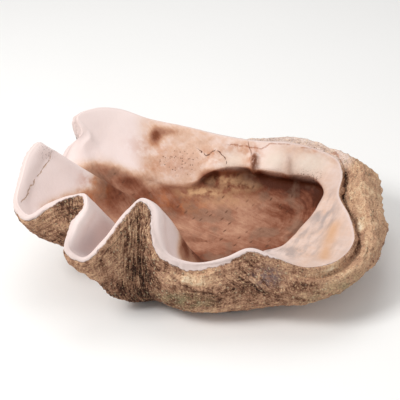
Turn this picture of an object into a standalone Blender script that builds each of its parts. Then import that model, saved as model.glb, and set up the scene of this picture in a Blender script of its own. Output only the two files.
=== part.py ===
"""One valve of a giant clam, lying on its rounded back with the bowl up.

The valve grew as one piece, so it is one solid. Its margin is a closed curve through named places:
the tall folds along the left and the front, the rounded right end, and the hinge line at the back.
From the margin one curve runs down into the bowl and another down the rough outside, and both follow
a section that is given at a few places round the margin. The folds fade out along lines that meet at
the umbo, as the ribs of a real clam do.
"""

import math

import bmesh
import bpy
import numpy as np

# Driving sizes, in metres. The long axis is X, the hinge is at the back (+Y) and the folds are on the left.
UMBO = (0.300, 0.225)
BOWL_MIDDLE = (0.030, 0.050)
SPINE_SHARE = 0.20
FLOOR_HEIGHT = 0.048
BASE_DIP = 0.008

COLUMNS = 160
DENSER_AT_FOLDS = 1.9
LIP_INSIDE = 0.007
LIP_OUTSIDE = 0.005
EVENING = 0.030
ROUNDING = 0.026

# The margin: name, x, y, z, and whether the place lies on the mean line that the folds swing about.
MARGIN = (
    ("wing_tip", -0.268, 0.236, 0.248, True),
    ("wing_notch", -0.257, 0.216, 0.220, False),
    ("wing_foot", -0.277, 0.199, 0.206, True),
    ("back_lobe", -0.296, 0.164, 0.187, False),
    ("tip_a_back", -0.319, 0.108, 0.228, True),
    ("tip_a_top", -0.334, 0.074, 0.281, False),
    ("tip_a_side", -0.346, 0.062, 0.272, False),
    ("tip_a_front", -0.362, 0.020, 0.238, True),
    ("left_lobe", -0.366, -0.038, 0.200, False),
    ("left_lobe_corner", -0.346, -0.058, 0.191, False),
    ("left_lobe_front", -0.305, -0.052, 0.213, True),
    ("tip_b_back", -0.254, -0.074, 0.248, False),
    ("tip_b_top", -0.223, -0.100, 0.264, False),
    ("tip_b_side", -0.221, -0.114, 0.257, False),
    ("tip_b_front", -0.244, -0.136, 0.226, True),
    ("corner_lobe", -0.255, -0.162, 0.182, False),
    ("corner_lobe_low", -0.229, -0.174, 0.170, False),
    ("corner_lobe_right", -0.190, -0.158, 0.196, True),
    ("tip_c_left", -0.140, -0.118, 0.244, False),
    ("tip_c_top", -0.113, -0.107, 0.262, False),
    ("tip_c_side", -0.096, -0.117, 0.252, False),
    ("tip_c_right", -0.088, -0.145, 0.217, True),
    ("front_lobe_left", -0.067, -0.165, 0.175, False),
    ("front_lobe", -0.019, -0.172, 0.157, False),
    ("low_fold_left", 0.048, -0.172, 0.169, True),
    ("low_fold", 0.092, -0.164, 0.184, False),
    ("low_fold_right", 0.145, -0.170, 0.168, True),
    ("right_lobe", 0.203, -0.172, 0.146, True),
    ("right_lobe_end", 0.264, -0.147, 0.141, True),
    ("right_corner", 0.308, -0.080, 0.140, True),
    ("right_end", 0.309, 0.008, 0.143, True),
    ("byssal_notch", 0.294, 0.087, 0.146, True),
    ("byssal_back", 0.308, 0.168, 0.150, True),
    ("umbo_corner", 0.300, 0.222, 0.155, True),
    ("hinge_right", 0.257, 0.250, 0.163, True),
    ("hinge_middle", 0.200, 0.264, 0.171, True),
    ("hinge_left", 0.125, 0.272, 0.171, True),
    ("back_right", 0.045, 0.286, 0.178, True),
    ("back_middle", -0.034, 0.301, 0.191, True),
    ("back_left", -0.116, 0.304, 0.209, True),
    ("wing_right", -0.182, 0.297, 0.237, True),
    ("wing_top", -0.232, 0.272, 0.251, True),
)

# How far in towards the umbo the folds reach before they are gone, by place.
FOLD_REACH = {
    "wing_notch": 0.070,
    "back_lobe": 0.240,
    "tip_a_top": 0.300,
    "left_lobe": 0.290,
    "tip_b_top": 0.270,
    "corner_lobe": 0.250,
    "tip_c_top": 0.215,
    "front_lobe": 0.160,
    "low_fold": 0.080,
    "right_lobe_end": 0.070,
}

# Sections, by the place on the margin where they hold, as pairs of the distance in from the mean margin
# and the height. Inside: middle of the shelf, its edge, under its edge, middle of the wall, floor's edge.
INSIDE = {
    "wing_foot": ((0.040, 0.186), (0.085, 0.152), (0.120, 0.126), (0.175, 0.092), (0.245, 0.060)),
    "tip_a_front": ((0.035, 0.205), (0.080, 0.168), (0.130, 0.132), (0.200, 0.090), (0.270, 0.058)),
    "left_lobe_front": ((0.030, 0.188), (0.070, 0.155), (0.115, 0.122), (0.170, 0.085), (0.235, 0.058)),
    "tip_b_front": ((0.028, 0.196), (0.060, 0.160), (0.095, 0.125), (0.140, 0.088), (0.190, 0.058)),
    "corner_lobe_right": ((0.026, 0.178), (0.056, 0.148), (0.088, 0.118), (0.124, 0.088), (0.168, 0.058)),
    "tip_c_right": ((0.024, 0.190), (0.052, 0.156), (0.080, 0.122), (0.110, 0.090), (0.150, 0.058)),
    "front_lobe": ((0.016, 0.166), (0.034, 0.150), (0.054, 0.122), (0.085, 0.088), (0.135, 0.056)),
    "low_fold": ((0.014, 0.158), (0.028, 0.149), (0.036, 0.125), (0.060, 0.085), (0.105, 0.053)),
    "right_lobe": ((0.055, 0.134), (0.118, 0.117), (0.112, 0.090), (0.126, 0.068), (0.152, 0.053)),
    "right_corner": ((0.064, 0.126), (0.130, 0.113), (0.124, 0.088), (0.138, 0.067), (0.162, 0.053)),
    "right_end": ((0.044, 0.128), (0.094, 0.114), (0.086, 0.090), (0.098, 0.070), (0.120, 0.054)),
    "byssal_notch": ((0.023, 0.134), (0.048, 0.119), (0.042, 0.095), (0.058, 0.072), (0.086, 0.055)),
    "byssal_back": ((0.022, 0.138), (0.046, 0.122), (0.036, 0.095), (0.054, 0.072), (0.090, 0.055)),
    "umbo_corner": ((0.030, 0.144), (0.060, 0.122), (0.046, 0.095), (0.068, 0.075), (0.110, 0.056)),
    "hinge_middle": ((0.040, 0.155), (0.075, 0.130), (0.050, 0.100), (0.070, 0.075), (0.115, 0.056)),
    "hinge_left": ((0.025, 0.150), (0.048, 0.130), (0.036, 0.102), (0.060, 0.078), (0.120, 0.056)),
    "back_right": ((0.028, 0.150), (0.056, 0.126), (0.052, 0.098), (0.075, 0.076), (0.130, 0.056)),
    "back_middle": ((0.045, 0.146), (0.090, 0.102), (0.096, 0.082), (0.115, 0.067), (0.150, 0.055)),
    "back_left": ((0.050, 0.160), (0.103, 0.108), (0.112, 0.089), (0.135, 0.073), (0.175, 0.056)),
    "wing_right": ((0.055, 0.182), (0.112, 0.126), (0.124, 0.108), (0.150, 0.087), (0.205, 0.060)),
}

# Outside: crevice under the lip, rough ridge, bulge, turn of the underside, and where it meets the ground.
OUTSIDE = {
    "wing_foot": ((0.002, 0.200), (0.012, 0.184), (0.045, 0.140), (0.100, 0.055), (0.150, 0.000)),
    "tip_a_front": ((-0.003, 0.220), (0.000, 0.206), (0.035, 0.160), (0.140, 0.060), (0.225, 0.000)),
    "left_lobe_front": ((-0.003, 0.197), (0.000, 0.184), (0.022, 0.130), (0.110, 0.046), (0.180, 0.000)),
    "tip_b_front": ((-0.004, 0.208), (-0.003, 0.196), (0.018, 0.150), (0.076, 0.062), (0.145, 0.000)),
    "corner_lobe_right": ((-0.005, 0.184), (-0.006, 0.170), (-0.002, 0.134), (0.030, 0.053), (0.100, 0.000)),
    "tip_c_right": ((-0.006, 0.198), (-0.008, 0.184), (-0.010, 0.128), (0.002, 0.046), (0.062, 0.000)),
    "front_lobe": ((-0.006, 0.162), (-0.016, 0.148), (-0.014, 0.095), (0.004, 0.037), (0.058, 0.000)),
    "low_fold": ((-0.006, 0.150), (-0.015, 0.138), (-0.014, 0.090), (0.006, 0.038), (0.055, 0.000)),
    "right_lobe": ((-0.006, 0.124), (-0.020, 0.118), (-0.022, 0.084), (0.018, 0.042), (0.110, 0.000)),
    "right_corner": ((-0.010, 0.122), (-0.032, 0.130), (-0.040, 0.092), (0.010, 0.052), (0.150, 0.000)),
    "right_end": ((-0.014, 0.124), (-0.045, 0.150), (-0.076, 0.100), (-0.030, 0.045), (0.120, 0.000)),
    "byssal_notch": ((-0.014, 0.128), (-0.054, 0.155), (-0.098, 0.108), (-0.030, 0.045), (0.120, 0.000)),
    "byssal_back": ((-0.012, 0.136), (-0.046, 0.158), (-0.082, 0.120), (-0.030, 0.045), (0.120, 0.000)),
    "umbo_corner": ((-0.010, 0.150), (-0.022, 0.160), (-0.040, 0.120), (-0.010, 0.045), (0.110, 0.000)),
    "hinge_middle": ((-0.010, 0.164), (-0.024, 0.173), (-0.038, 0.120), (0.000, 0.045), (0.100, 0.000)),
    "hinge_left": ((-0.008, 0.160), (-0.018, 0.166), (-0.028, 0.110), (0.010, 0.045), (0.100, 0.000)),
    "back_middle": ((-0.006, 0.170), (-0.010, 0.158), (-0.014, 0.110), (0.024, 0.045), (0.110, 0.000)),
    "wing_right": ((-0.006, 0.218), (-0.010, 0.205), (-0.008, 0.150), (0.045, 0.055), (0.130, 0.000)),
}

# The hinge plate's rounded lobes: x, y, reach along x, reach along y, and rise.
PLATE_LOBES = (
    (0.166, 0.214, 0.025, 0.026, 0.010),
    (0.242, 0.208, 0.038, 0.026, 0.011),
)

# Outside, the folds also fade from row to row.
OUTSIDE_SHARES = (1, 1, 1, 0.85, 0.26, 0.04, 0.0, 0)
# How much the folds' sharp crests are rounded from row to row, from the bowl's middle over the lip to the base.
ROUNDNESS = (1, 1, 1, 1, 0.8, 0.5, 0.2, 0, 0, 0, 0.1, 0.3, 0.8, 1, 1, 1, 1)
# How far the skin below the lip stands off square to a fold's own flank, so that no flank grows thin.
FLANK_OFFSETS = (0.002, 0.005, 0.007, 0.007, 0.003, 0.0, 0.0, 0.0)
# Rows of faces between one key of the section and the next, from the bowl's middle over the lip to the base.
ROWS = (2, 3, 3, 2, 2, 2, 3, 1, 1, 1, 1, 2, 3, 3, 1, 1)


def hermite(knots, values, at):
    """A smooth curve through the values at the knots."""
    values = np.asarray(values, float)
    steps = np.diff(knots)[:, None]
    rises = np.diff(values, axis=0) / steps
    inner = (rises[:-1] * steps[1:] + rises[1:] * steps[:-1]) / (steps[1:] + steps[:-1])
    tangents = np.concatenate([rises[:1], inner, rises[-1:]])
    span = np.clip(np.searchsorted(knots, at, side="right") - 1, 0, len(knots) - 2)
    width = (knots[span + 1] - knots[span])[:, None]
    t = (at - knots[span])[:, None] / width
    start, end = values[span], values[span + 1]
    leave, reach = tangents[span] * width, tangents[span + 1] * width
    return (
        start * (1 + 2 * t) * (1 - t) ** 2
        + leave * t * (1 - t) ** 2
        + end * t**2 * (3 - 2 * t)
        + reach * t**2 * (t - 1)
    )


def closed(knots, values, at, length):
    """The same for values that go round and meet again after length."""
    knots = np.asarray(knots, float)
    values = np.asarray(values, float)
    wrapped = np.concatenate([knots - length, knots, knots + length])
    return hermite(wrapped, np.concatenate([values] * 3), at)


def margin_knots():
    """Each place's distance along the margin, and the margin's whole length."""
    points = np.array([place[1:4] for place in MARGIN])
    steps = np.linalg.norm(np.roll(points, -1, axis=0) - points, axis=1)
    return np.concatenate([[0], np.cumsum(steps)[:-1]]), steps.sum()


def folded_part(knots, at, length):
    """One along the folds, zero where the margin is smooth."""
    folded = np.array([place[1] < 0.0 and place[2] < 0.25 for place in MARGIN], float)[:, None]
    return closed(knots, folded, at, length)[:, 0].clip(0, 1)


def places_around(count, knots, length):
    """Distances along the margin, closer together at the folds."""
    fine = np.linspace(0, length, 2000)
    density = 1 + (DENSER_AT_FOLDS - 1) * folded_part(knots, fine, length)
    reach = np.concatenate([[0], np.cumsum((density[1:] + density[:-1]) / 2)])
    return np.interp(np.arange(count) * reach[-1] / count, reach, fine)


def along_margin(table, at, knots, length):
    """The table's sections at each distance along the margin, as place, key and pair."""
    names = [place[0] for place in MARGIN]
    given = sorted(table, key=names.index)
    values = np.array([table[name] for name in given])
    found = closed(knots[[names.index(name) for name in given]], values.reshape(len(given), -1), at, length)
    return found.reshape(len(at), -1, 2)


def section_keys(mean, inside, outside):
    """Distance in from the mean margin and height of each key, from the bowl's middle over the lip to the base."""
    top = mean[:, 2]
    zero = np.zeros_like(top)
    spine = np.array(BOWL_MIDDLE) + np.stack([SPINE_SHARE * (mean[:, 0] - BOWL_MIDDLE[0]), zero], 1)
    reach = np.linalg.norm(spine - mean[:, :2], axis=1)
    floor_edge = inside[:, 4, 0]
    ground = outside[:, 4, 0]
    keys = [(reach, zero + FLOOR_HEIGHT), (0.5 * (reach + floor_edge), zero + FLOOR_HEIGHT + 0.002)]
    keys += [(inside[:, i, 0], inside[:, i, 1]) for i in (4, 3, 2, 1, 0)]
    keys += [(zero + LIP_INSIDE, top - 0.003), (zero, top), (zero - LIP_OUTSIDE, top - 0.004)]
    keys += [(outside[:, i, 0], outside[:, i, 1]) for i in range(5)]
    keys += [(ground + 0.3 * (reach - ground), zero - BASE_DIP), (reach, zero - BASE_DIP)]
    return np.array(keys), spine, reach


def evened(values, at, length, reach):
    """Values averaged with their neighbours within reach, at places that go round and meet after length."""
    apart = np.abs(at[:, None] - at[None, :])
    spacing = (np.roll(at, -1) - np.roll(at, 1)) % length
    weights = np.exp(-((np.minimum(apart, length - apart) / reach) ** 2)) * spacing[None]
    return weights @ values / weights.sum(axis=1)[:, None]


def polar(plan):
    """Direction and distance from the umbo."""
    away = plan - np.array(UMBO)
    return np.arctan2(away[..., 1], away[..., 0]) % (2 * math.pi), np.linalg.norm(away, axis=-1)


def fold_at(plan, mean, folds, extents, first, last):
    """The fold that belongs to each place, which fades along the line from the margin to the umbo."""
    own, far = polar(mean[:, :2])
    run = np.concatenate([np.arange(last, len(mean)), np.arange(0, first)])
    steady = np.maximum.accumulate(own[run])
    swing = folds[run].copy()
    swing[0] = swing[-1] = 0
    bearing, distance = polar(plan)
    fold = np.stack([np.interp(bearing, steady, swing[:, axis]) for axis in range(3)], -1)
    from_margin = np.interp(bearing, steady, far[run]) - distance
    faded = (from_margin / np.interp(bearing, steady, extents[run])).clip(0, 1)
    return (1 - faded * faded * (3 - 2 * faded))[..., None] * fold


def lobes_at(plan, marks):
    """How far the hinge plate's lobes rise above the shelf."""
    on_shelf = np.clip((marks - 4.5) / 0.5, 0, 1) * np.clip((7.5 - marks) / 0.5, 0, 1)
    rise = np.zeros(plan.shape[:-1])
    for x, y, wide, deep, height in PLATE_LOBES:
        rise += height * np.exp(-(((plan[..., 0] - x) / wide) ** 2) - ((plan[..., 1] - y) / deep) ** 2)
    return on_shelf[:, None] * rise


def valve_points(count, rows):
    """Points of the valve: rows run from the bowl's middle out over the lip to the middle of the underside."""
    knots, length = margin_knots()
    at = places_around(count, knots, length)
    points = np.array([place[1:4] for place in MARGIN])
    on_mean = np.array([place[4] for place in MARGIN])
    names = [place[0] for place in MARGIN]
    margin = closed(knots, points, at, length)
    mean = closed(knots[on_mean], points[on_mean], at, length)
    inside = along_margin(INSIDE, at, knots, length)
    outside = along_margin(OUTSIDE, at, knots, length)
    keys, spine, reach = section_keys(mean, inside, outside)

    marks = np.concatenate([np.arange(n) / n + i for i, n in enumerate(rows)] + [[len(keys) - 1.0]])
    lanes = hermite(np.arange(len(keys), dtype=float), keys.reshape(len(keys), -1), marks)
    lanes = lanes.reshape(len(marks), 2, -1)
    inward, height = lanes[:, 0], lanes[:, 1]
    shares = np.concatenate([np.ones(len(keys) - len(OUTSIDE_SHARES)), OUTSIDE_SHARES])
    share = hermite(np.arange(len(keys), dtype=float), shares[:, None], marks).clip(0, 1)

    # Past the floor's edge the rows leave the spine and gather at the bowl's middle.
    part = inward / reach
    gather = (np.clip(part, 0.6, 1) - 0.6) / 0.4
    gather = gather * gather * (3 - 2 * gather)
    aim = spine[None] + (np.array(BOWL_MIDDLE) - spine)[None] * gather[..., None]
    plan = mean[None, :, :2] + part[..., None] * (aim - mean[None, :, :2])
    body = np.concatenate([plan, height[..., None]], -1)

    # Near the lip the skin stands off square to the real margin, and outside it does so most on steep flanks.
    tangent = np.roll(margin, -1, axis=0) - np.roll(margin, 1, axis=0)
    square = np.stack([-tangent[:, 1], tangent[:, 0]], 1) / np.linalg.norm(tangent[:, :2], axis=1)[:, None]
    steepness = np.abs(tangent[:, 2]) / np.linalg.norm(tangent, axis=1)
    folded = folded_part(knots, at, length)[:, None]
    turned = (evened(square, at, length, EVENING) - (spine - mean[:, :2]) / reach[:, None]) * folded
    near = np.where(inward > 0, np.clip(1.4 - inward / 0.018, 0, 1), 1)
    near = near * (marks[:, None] <= len(keys) - len(OUTSIDE_SHARES) + 2)
    body[..., :2] += (inward * near)[..., None] * turned[None]
    offsets = np.concatenate([np.zeros(len(keys) - len(OUTSIDE_SHARES)), FLANK_OFFSETS])
    offset = hermite(np.arange(len(keys), dtype=float), offsets[:, None], marks)
    body[..., :2] -= offset[..., None] * (square * folded * steepness[:, None])[None]
    first = int(np.searchsorted(at, knots[names.index("right_lobe_end")]))
    last = int(np.searchsorted(at, knots[names.index("back_left")]))
    reach_names = sorted(FOLD_REACH, key=names.index)
    reach_knots = knots[[names.index(name) for name in reach_names]]
    extents = np.interp(at, reach_knots, [FOLD_REACH[name] for name in reach_names])
    sharp = fold_at(plan, mean, margin - mean, extents, first, last)
    mean_steps = np.linalg.norm(np.roll(mean, -1, axis=0)[:, :2] - mean[:, :2], axis=1)
    mean_at = np.cumsum(mean_steps) - mean_steps
    softened = evened(margin - mean, mean_at, mean_steps.sum(), ROUNDING)
    rounded = fold_at(plan, mean, softened, extents, first, last)
    roundness = hermite(np.arange(len(keys), dtype=float), np.array(ROUNDNESS, float)[:, None], marks).clip(0, 1)
    body = body + share[..., None] * (sharp + roundness[..., None] * (rounded - sharp))
    body[..., 2] += lobes_at(body[..., :2], marks)
    return body


def grid_mesh(name, points):
    """A closed skin over rows of points that go round, worn flat where it would reach below the ground."""
    shell = bmesh.new()
    body = [[shell.verts.new(p) for p in row] for row in points[1:-1]]
    start = shell.verts.new(points[0].mean(axis=0))
    end = shell.verts.new(points[-1].mean(axis=0))
    count = len(body[0])
    for i in range(count):
        j = (i + 1) % count
        shell.faces.new((start, body[0][j], body[0][i]))
        shell.faces.new((end, body[-1][i], body[-1][j]))
        for upper, lower in zip(body, body[1:]):
            shell.faces.new((upper[i], upper[j], lower[j], lower[i]))
    bmesh.ops.recalc_face_normals(shell, faces=shell.faces)
    everything = shell.verts[:] + shell.edges[:] + shell.faces[:]
    bmesh.ops.bisect_plane(shell, geom=everything, dist=1e-5, plane_no=(0, 0, -1), clear_outer=True)
    bmesh.ops.holes_fill(shell, edges=[edge for edge in shell.edges if edge.is_boundary])
    bmesh.ops.recalc_face_normals(shell, faces=shell.faces)
    corners = np.array([vert.co for vert in shell.verts])
    middle = (corners.min(axis=0) + corners.max(axis=0)) / 2
    bmesh.ops.translate(shell, verts=shell.verts, vec=(-middle[0], -middle[1], -corners[:, 2].min()))
    mesh = bpy.data.meshes.new(name)
    shell.to_mesh(mesh)
    shell.free()
    return mesh


def shell_material():
    """Aged shell: chalky outside and porcelain within, here as one plain colour."""
    material = bpy.data.materials.new("aged_shell")
    material.use_nodes = True
    surface = material.node_tree.nodes["Principled BSDF"]
    surface.inputs["Base Color"].default_value = (0.62, 0.48, 0.40, 1)
    surface.inputs["Roughness"].default_value = 0.55
    surface.inputs["Metallic"].default_value = 0
    return material


def main():
    for obj in list(bpy.data.objects):
        bpy.data.objects.remove(obj)
    holder = bpy.data.collections.new("giant_clam_valve")
    bpy.context.scene.collection.children.link(holder)
    mesh = grid_mesh("clam_valve", valve_points(COLUMNS, ROWS))
    mesh.shade_smooth()
    mesh.materials.append(shell_material())
    holder.objects.link(bpy.data.objects.new("clam_valve", mesh))


main()
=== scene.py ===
"""The looks of the giant clam valve: the solid's shape on a finer grid, its relief, stains, painted shade and
finish.

The shape values repeat the solid's own, so the skin lies where the solid is. Sizes are in metres.
"""

import math

import bmesh
import bpy
import mathutils
import numpy as np
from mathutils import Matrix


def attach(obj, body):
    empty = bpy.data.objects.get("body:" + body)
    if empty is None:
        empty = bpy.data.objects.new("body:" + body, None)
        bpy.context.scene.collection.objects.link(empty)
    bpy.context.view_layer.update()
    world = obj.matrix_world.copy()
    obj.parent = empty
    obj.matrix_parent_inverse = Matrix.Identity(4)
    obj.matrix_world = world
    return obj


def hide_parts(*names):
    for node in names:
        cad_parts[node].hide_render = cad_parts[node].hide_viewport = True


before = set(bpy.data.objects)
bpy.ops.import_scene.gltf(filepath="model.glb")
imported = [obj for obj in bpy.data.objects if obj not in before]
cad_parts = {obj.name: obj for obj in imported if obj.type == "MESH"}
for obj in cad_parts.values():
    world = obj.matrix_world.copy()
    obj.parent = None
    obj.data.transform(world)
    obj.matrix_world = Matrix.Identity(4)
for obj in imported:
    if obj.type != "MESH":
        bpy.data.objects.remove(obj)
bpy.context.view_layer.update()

# Driving sizes, in metres. The long axis is X, the hinge is at the back (+Y) and the folds are on the left.
UMBO = (0.300, 0.225)
BOWL_MIDDLE = (0.030, 0.050)
SPINE_SHARE = 0.20
FLOOR_HEIGHT = 0.048
BASE_DIP = 0.008

COLUMNS = 160
DENSER_AT_FOLDS = 1.9
LIP_INSIDE = 0.007
LIP_OUTSIDE = 0.005
EVENING = 0.030
ROUNDING = 0.026

# The margin: name, x, y, z, and whether the place lies on the mean line that the folds swing about.
MARGIN = (
    ("wing_tip", -0.268, 0.236, 0.248, True),
    ("wing_notch", -0.257, 0.216, 0.220, False),
    ("wing_foot", -0.277, 0.199, 0.206, True),
    ("back_lobe", -0.296, 0.164, 0.187, False),
    ("tip_a_back", -0.319, 0.108, 0.228, True),
    ("tip_a_top", -0.334, 0.074, 0.281, False),
    ("tip_a_side", -0.346, 0.062, 0.272, False),
    ("tip_a_front", -0.362, 0.020, 0.238, True),
    ("left_lobe", -0.366, -0.038, 0.200, False),
    ("left_lobe_corner", -0.346, -0.058, 0.191, False),
    ("left_lobe_front", -0.305, -0.052, 0.213, True),
    ("tip_b_back", -0.254, -0.074, 0.248, False),
    ("tip_b_top", -0.223, -0.100, 0.264, False),
    ("tip_b_side", -0.221, -0.114, 0.257, False),
    ("tip_b_front", -0.244, -0.136, 0.226, True),
    ("corner_lobe", -0.255, -0.162, 0.182, False),
    ("corner_lobe_low", -0.229, -0.174, 0.170, False),
    ("corner_lobe_right", -0.190, -0.158, 0.196, True),
    ("tip_c_left", -0.140, -0.118, 0.244, False),
    ("tip_c_top", -0.113, -0.107, 0.262, False),
    ("tip_c_side", -0.096, -0.117, 0.252, False),
    ("tip_c_right", -0.088, -0.145, 0.217, True),
    ("front_lobe_left", -0.067, -0.165, 0.175, False),
    ("front_lobe", -0.019, -0.172, 0.157, False),
    ("low_fold_left", 0.048, -0.172, 0.169, True),
    ("low_fold", 0.092, -0.164, 0.184, False),
    ("low_fold_right", 0.145, -0.170, 0.168, True),
    ("right_lobe", 0.203, -0.172, 0.146, True),
    ("right_lobe_end", 0.264, -0.147, 0.141, True),
    ("right_corner", 0.308, -0.080, 0.140, True),
    ("right_end", 0.309, 0.008, 0.143, True),
    ("byssal_notch", 0.294, 0.087, 0.146, True),
    ("byssal_back", 0.308, 0.168, 0.150, True),
    ("umbo_corner", 0.300, 0.222, 0.155, True),
    ("hinge_right", 0.257, 0.250, 0.163, True),
    ("hinge_middle", 0.200, 0.264, 0.171, True),
    ("hinge_left", 0.125, 0.272, 0.171, True),
    ("back_right", 0.045, 0.286, 0.178, True),
    ("back_middle", -0.034, 0.301, 0.191, True),
    ("back_left", -0.116, 0.304, 0.209, True),
    ("wing_right", -0.182, 0.297, 0.237, True),
    ("wing_top", -0.232, 0.272, 0.251, True),
)

# How far in towards the umbo the folds reach before they are gone, by place.
FOLD_REACH = {
    "wing_notch": 0.070,
    "back_lobe": 0.240,
    "tip_a_top": 0.300,
    "left_lobe": 0.290,
    "tip_b_top": 0.270,
    "corner_lobe": 0.250,
    "tip_c_top": 0.215,
    "front_lobe": 0.160,
    "low_fold": 0.080,
    "right_lobe_end": 0.070,
}

# Sections, by the place on the margin where they hold, as pairs of the distance in from the mean margin
# and the height. Inside: middle of the shelf, its edge, under its edge, middle of the wall, floor's edge.
INSIDE = {
    "wing_foot": ((0.040, 0.186), (0.085, 0.152), (0.120, 0.126), (0.175, 0.092), (0.245, 0.060)),
    "tip_a_front": ((0.035, 0.205), (0.080, 0.168), (0.130, 0.132), (0.200, 0.090), (0.270, 0.058)),
    "left_lobe_front": ((0.030, 0.188), (0.070, 0.155), (0.115, 0.122), (0.170, 0.085), (0.235, 0.058)),
    "tip_b_front": ((0.028, 0.196), (0.060, 0.160), (0.095, 0.125), (0.140, 0.088), (0.190, 0.058)),
    "corner_lobe_right": ((0.026, 0.178), (0.056, 0.148), (0.088, 0.118), (0.124, 0.088), (0.168, 0.058)),
    "tip_c_right": ((0.024, 0.190), (0.052, 0.156), (0.080, 0.122), (0.110, 0.090), (0.150, 0.058)),
    "front_lobe": ((0.016, 0.166), (0.034, 0.150), (0.054, 0.122), (0.085, 0.088), (0.135, 0.056)),
    "low_fold": ((0.014, 0.158), (0.028, 0.149), (0.036, 0.125), (0.060, 0.085), (0.105, 0.053)),
    "right_lobe": ((0.055, 0.134), (0.118, 0.117), (0.112, 0.090), (0.126, 0.068), (0.152, 0.053)),
    "right_corner": ((0.064, 0.126), (0.130, 0.113), (0.124, 0.088), (0.138, 0.067), (0.162, 0.053)),
    "right_end": ((0.044, 0.128), (0.094, 0.114), (0.086, 0.090), (0.098, 0.070), (0.120, 0.054)),
    "byssal_notch": ((0.023, 0.134), (0.048, 0.119), (0.042, 0.095), (0.058, 0.072), (0.086, 0.055)),
    "byssal_back": ((0.022, 0.138), (0.046, 0.122), (0.036, 0.095), (0.054, 0.072), (0.090, 0.055)),
    "umbo_corner": ((0.030, 0.144), (0.060, 0.122), (0.046, 0.095), (0.068, 0.075), (0.110, 0.056)),
    "hinge_middle": ((0.040, 0.155), (0.075, 0.130), (0.050, 0.100), (0.070, 0.075), (0.115, 0.056)),
    "hinge_left": ((0.025, 0.150), (0.048, 0.130), (0.036, 0.102), (0.060, 0.078), (0.120, 0.056)),
    "back_right": ((0.028, 0.150), (0.056, 0.126), (0.052, 0.098), (0.075, 0.076), (0.130, 0.056)),
    "back_middle": ((0.045, 0.146), (0.090, 0.102), (0.096, 0.082), (0.115, 0.067), (0.150, 0.055)),
    "back_left": ((0.050, 0.160), (0.103, 0.108), (0.112, 0.089), (0.135, 0.073), (0.175, 0.056)),
    "wing_right": ((0.055, 0.182), (0.112, 0.126), (0.124, 0.108), (0.150, 0.087), (0.205, 0.060)),
}

# Outside: crevice under the lip, rough ridge, bulge, turn of the underside, and where it meets the ground.
OUTSIDE = {
    "wing_foot": ((0.002, 0.200), (0.012, 0.184), (0.045, 0.140), (0.100, 0.055), (0.150, 0.000)),
    "tip_a_front": ((-0.003, 0.220), (0.000, 0.206), (0.035, 0.160), (0.140, 0.060), (0.225, 0.000)),
    "left_lobe_front": ((-0.003, 0.197), (0.000, 0.184), (0.022, 0.130), (0.110, 0.046), (0.180, 0.000)),
    "tip_b_front": ((-0.004, 0.208), (-0.003, 0.196), (0.018, 0.150), (0.076, 0.062), (0.145, 0.000)),
    "corner_lobe_right": ((-0.005, 0.184), (-0.006, 0.170), (-0.002, 0.134), (0.030, 0.053), (0.100, 0.000)),
    "tip_c_right": ((-0.006, 0.198), (-0.008, 0.184), (-0.010, 0.128), (0.002, 0.046), (0.062, 0.000)),
    "front_lobe": ((-0.006, 0.162), (-0.016, 0.148), (-0.014, 0.095), (0.004, 0.037), (0.058, 0.000)),
    "low_fold": ((-0.006, 0.150), (-0.015, 0.138), (-0.014, 0.090), (0.006, 0.038), (0.055, 0.000)),
    "right_lobe": ((-0.006, 0.124), (-0.020, 0.118), (-0.022, 0.084), (0.018, 0.042), (0.110, 0.000)),
    "right_corner": ((-0.010, 0.122), (-0.032, 0.130), (-0.040, 0.092), (0.010, 0.052), (0.150, 0.000)),
    "right_end": ((-0.014, 0.124), (-0.045, 0.150), (-0.076, 0.100), (-0.030, 0.045), (0.120, 0.000)),
    "byssal_notch": ((-0.014, 0.128), (-0.054, 0.155), (-0.098, 0.108), (-0.030, 0.045), (0.120, 0.000)),
    "byssal_back": ((-0.012, 0.136), (-0.046, 0.158), (-0.082, 0.120), (-0.030, 0.045), (0.120, 0.000)),
    "umbo_corner": ((-0.010, 0.150), (-0.022, 0.160), (-0.040, 0.120), (-0.010, 0.045), (0.110, 0.000)),
    "hinge_middle": ((-0.010, 0.164), (-0.024, 0.173), (-0.038, 0.120), (0.000, 0.045), (0.100, 0.000)),
    "hinge_left": ((-0.008, 0.160), (-0.018, 0.166), (-0.028, 0.110), (0.010, 0.045), (0.100, 0.000)),
    "back_middle": ((-0.006, 0.170), (-0.010, 0.158), (-0.014, 0.110), (0.024, 0.045), (0.110, 0.000)),
    "wing_right": ((-0.006, 0.218), (-0.010, 0.205), (-0.008, 0.150), (0.045, 0.055), (0.130, 0.000)),
}

# The hinge plate's rounded lobes: x, y, reach along x, reach along y, and rise.
PLATE_LOBES = (
    (0.166, 0.214, 0.025, 0.026, 0.010),
    (0.242, 0.208, 0.038, 0.026, 0.011),
)

# Outside, the folds also fade from row to row.
OUTSIDE_SHARES = (1, 1, 1, 0.85, 0.26, 0.04, 0.0, 0)
# How much the folds' sharp crests are rounded, row by row from the bowl's middle over the lip to the base.
ROUNDNESS = (1, 1, 1, 1, 0.8, 0.5, 0.2, 0, 0, 0, 0.1, 0.3, 0.8, 1, 1, 1, 1)
# How far the skin below the lip stands off square to a fold's own flank, so that no flank grows thin.
FLANK_OFFSETS = (0.002, 0.005, 0.007, 0.007, 0.003, 0.0, 0.0, 0.0)
# Rows of faces between one key of the section and the next, from the bowl's middle over the lip to the base.
ROWS = (2, 3, 3, 2, 2, 2, 3, 1, 1, 1, 1, 2, 3, 3, 1, 1)


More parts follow.
